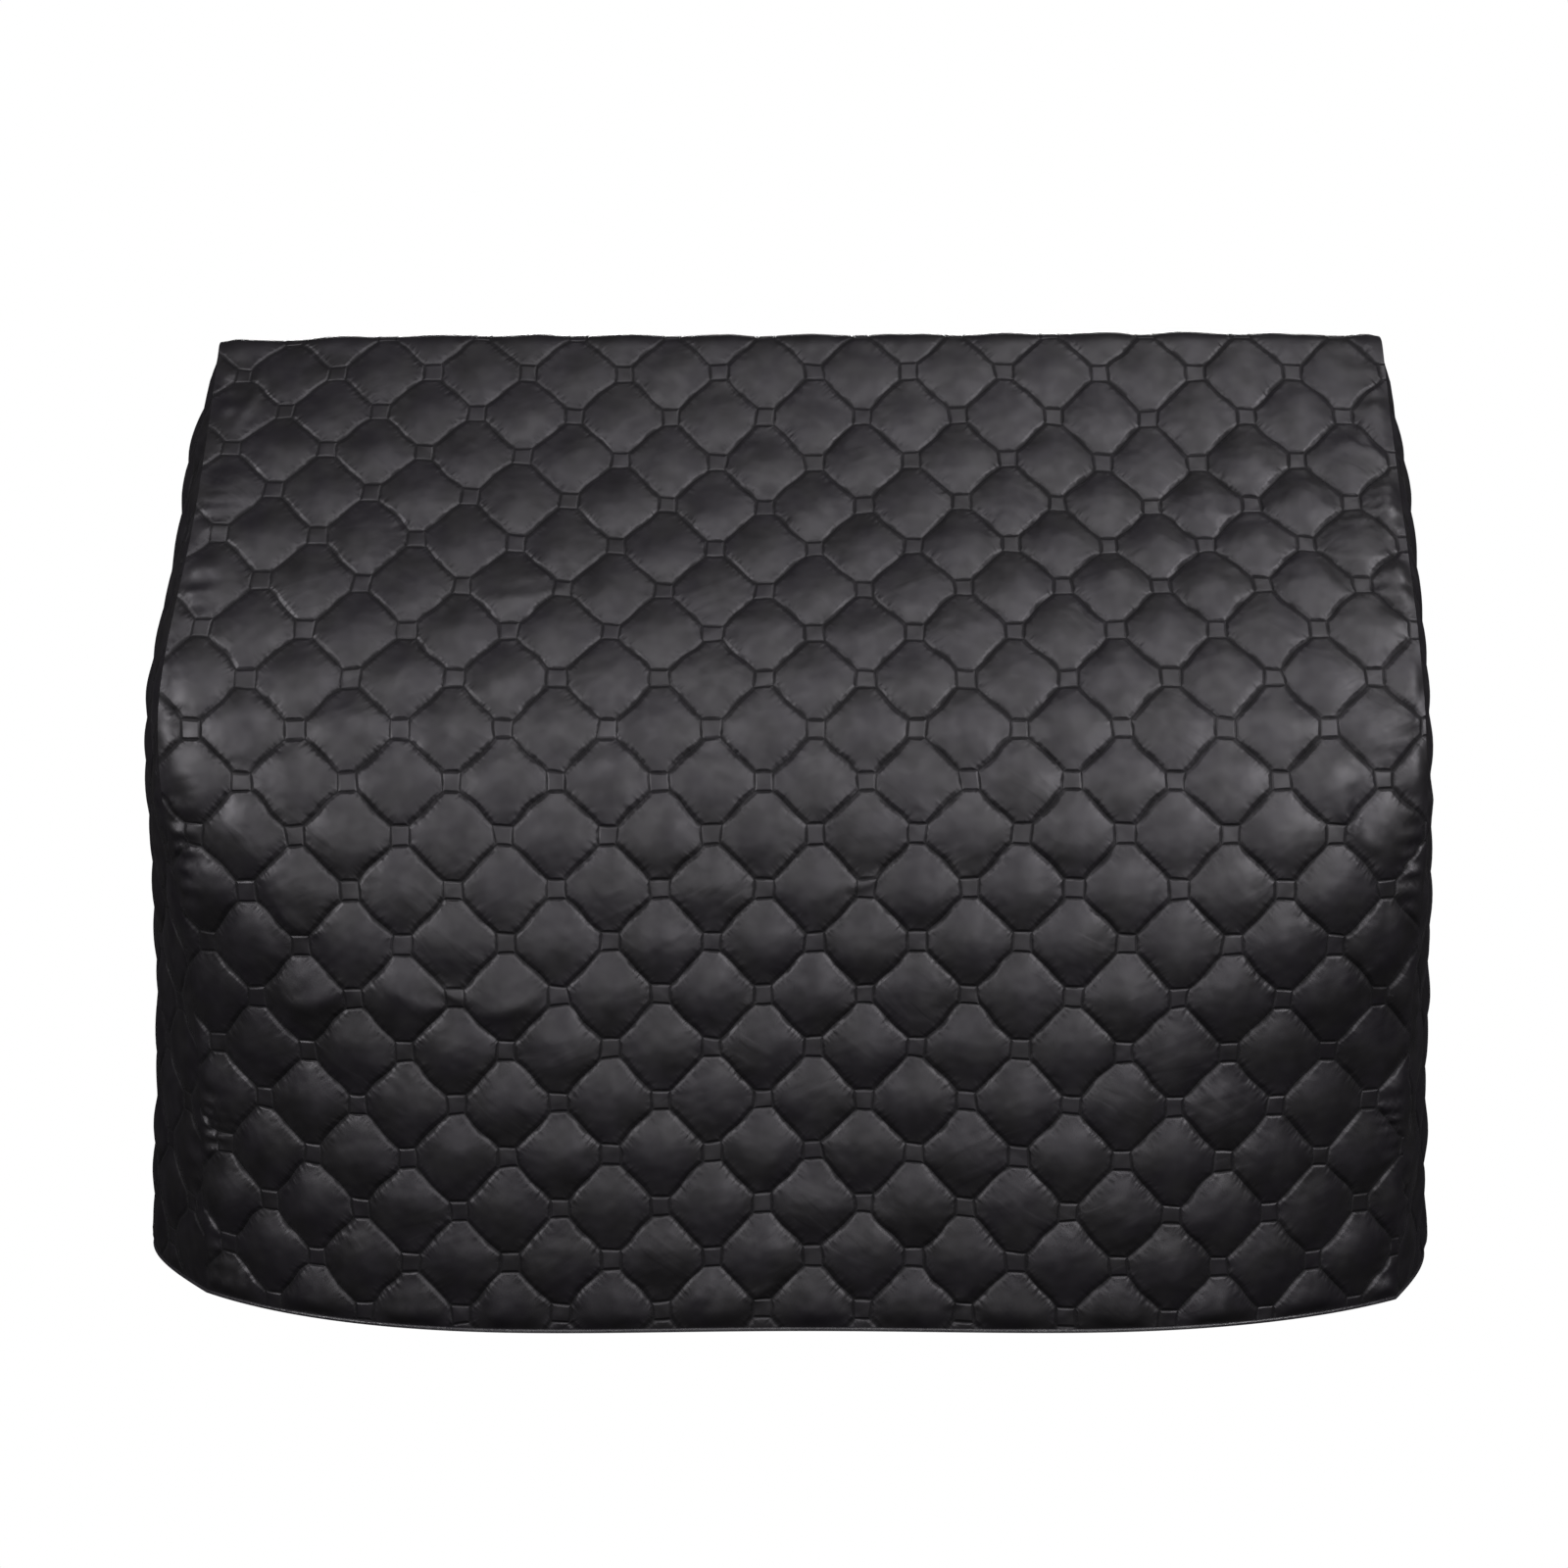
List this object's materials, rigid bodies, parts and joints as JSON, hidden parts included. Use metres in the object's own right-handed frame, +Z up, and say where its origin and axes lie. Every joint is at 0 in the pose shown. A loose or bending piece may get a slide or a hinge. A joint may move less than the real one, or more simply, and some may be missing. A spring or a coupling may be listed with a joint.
{
  "type": "quilted fitted cover for an upright piano",
  "caption": "Hollow quilted cloth cover for an upright piano, draped from its top down a sloped front to the floor, with sewn side panels and a piped hem.",
  "frame": {"origin": "under the middle of the top panel, where the piano's top carries the cover", "axes": "+Z up, -Y towards the player, +X to the right seen from the keyboard side"},
  "size_m": [1.7587, 0.7663, 1.245],
  "materials": {
    "quilted_cloth": "semi-gloss charcoal taffeta, quilted",
    "side_cloth": "semi-gloss charcoal taffeta, quilted",
    "piping": "satin charcoal piping"
  },
  "bodies": {
    "root": {"main_panel": "quilted_cloth", "side_panel_left": "side_cloth", "side_panel_right": "side_cloth", "hem_piping": "piping"}
  },
  "joints": []
}
